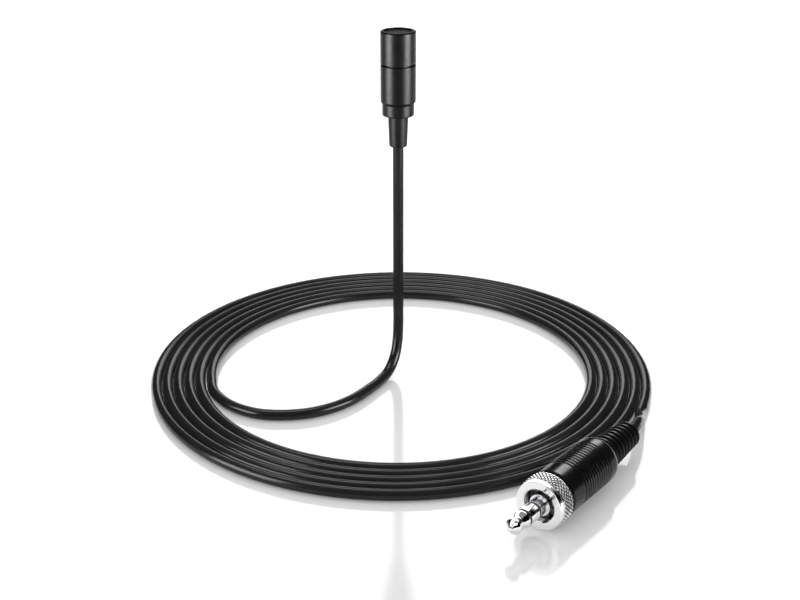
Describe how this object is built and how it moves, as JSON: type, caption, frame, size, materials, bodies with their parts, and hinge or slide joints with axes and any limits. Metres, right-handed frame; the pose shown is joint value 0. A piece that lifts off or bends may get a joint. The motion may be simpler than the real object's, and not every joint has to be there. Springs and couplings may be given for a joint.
{
  "type": "lavalier microphone",
  "caption": "Small cylindrical clip-on condenser microphone head on a thin coiled cord that ends in a 3.5 mm stereo jack plug with a captive knurled lock nut.",
  "frame": {"origin": "on the head's axis, in the middle of the body tube's plain stretch, where a clip grips it", "axes": "+Z along the head's axis from the cord towards the grille; the surface that the coil and plug lie on is at Z = -67.5 mm; +Y points away from the viewer of the picture and +X to the right"},
  "size_m": [0.1134, 0.1293, 0.0789],
  "materials": {
    "head_metal": "satin black coating",
    "mesh_metal": "darkened punched mesh",
    "felt": "felt",
    "black_rubber": "matt moulded rubber",
    "can_metal": "drawn sheet",
    "gilt": "plated",
    "film": "thin metallised film",
    "white_plastic": "moulded",
    "board": "varnished circuit board",
    "chip_black": "moulded",
    "chip_tan": "fired",
    "cord_jacket": "satin cord jacket",
    "lead_jacket": "lead insulation",
    "barrel_metal": "satin black coating",
    "nickel": "nickel plated",
    "ring_plastic": "moulded",
    "tinned": "tinned",
    "spring_steel": "spring steel",
    "liner": "insulating card"
  },
  "bodies": {
    "microphone": {"front_cap": "head_metal", "grille_mesh": "mesh_metal", "damping_cloth": "felt", "capsule_gasket": "black_rubber", "capsule_can": "can_metal", "diaphragm_ring": "gilt", "diaphragm": "film", "spacer_washer": "white_plastic", "back_plate": "gilt", "plate_holder": "white_plastic", "contact_ring": "gilt", "gate_transistor": "chip_black", "capsule_board": "board", "filter_capacitors": "chip_tan", "body_tube": "head_metal", "rear_collar": "head_metal", "mic_boot": "black_rubber", "boot_washer": "gilt", "cord_ferrule": "tinned", "head_jacket_end": "cord_jacket", "head_leads": "lead_jacket", "cord_riser": "cord_jacket", "cord_coil": "cord_jacket", "cord_tail": "cord_jacket", "strain_relief": "black_rubber", "plug_barrel": "barrel_metal", "plug_sleeve": "nickel", "sleeve_insulator": "ring_plastic", "ring_contact": "nickel", "tip_insulator": "ring_plastic", "tip_contact": "nickel", "solder_lugs": "tinned", "crimp_clamp": "tinned", "plug_liner": "liner", "plug_jacket_end": "cord_jacket", "plug_leads": "lead_jacket"},
    "nut_ring": {"snap_ring": "spring_steel"},
    "nut": {"lock_nut": "nickel"}
  },
  "joints": [
    {"name": "nut_float", "type": "slide", "parent": "microphone", "child": "nut_ring", "axis": [-0.6088, -0.7934, 0], "range_m": [0, 0.0003]},
    {"name": "nut_spin", "type": "hinge", "parent": "nut_ring", "child": "nut", "pos_m": [0.02862, -0.06379, -0.0624], "axis": [-0.6088, -0.7934, 0], "continuous": true}
  ]
}
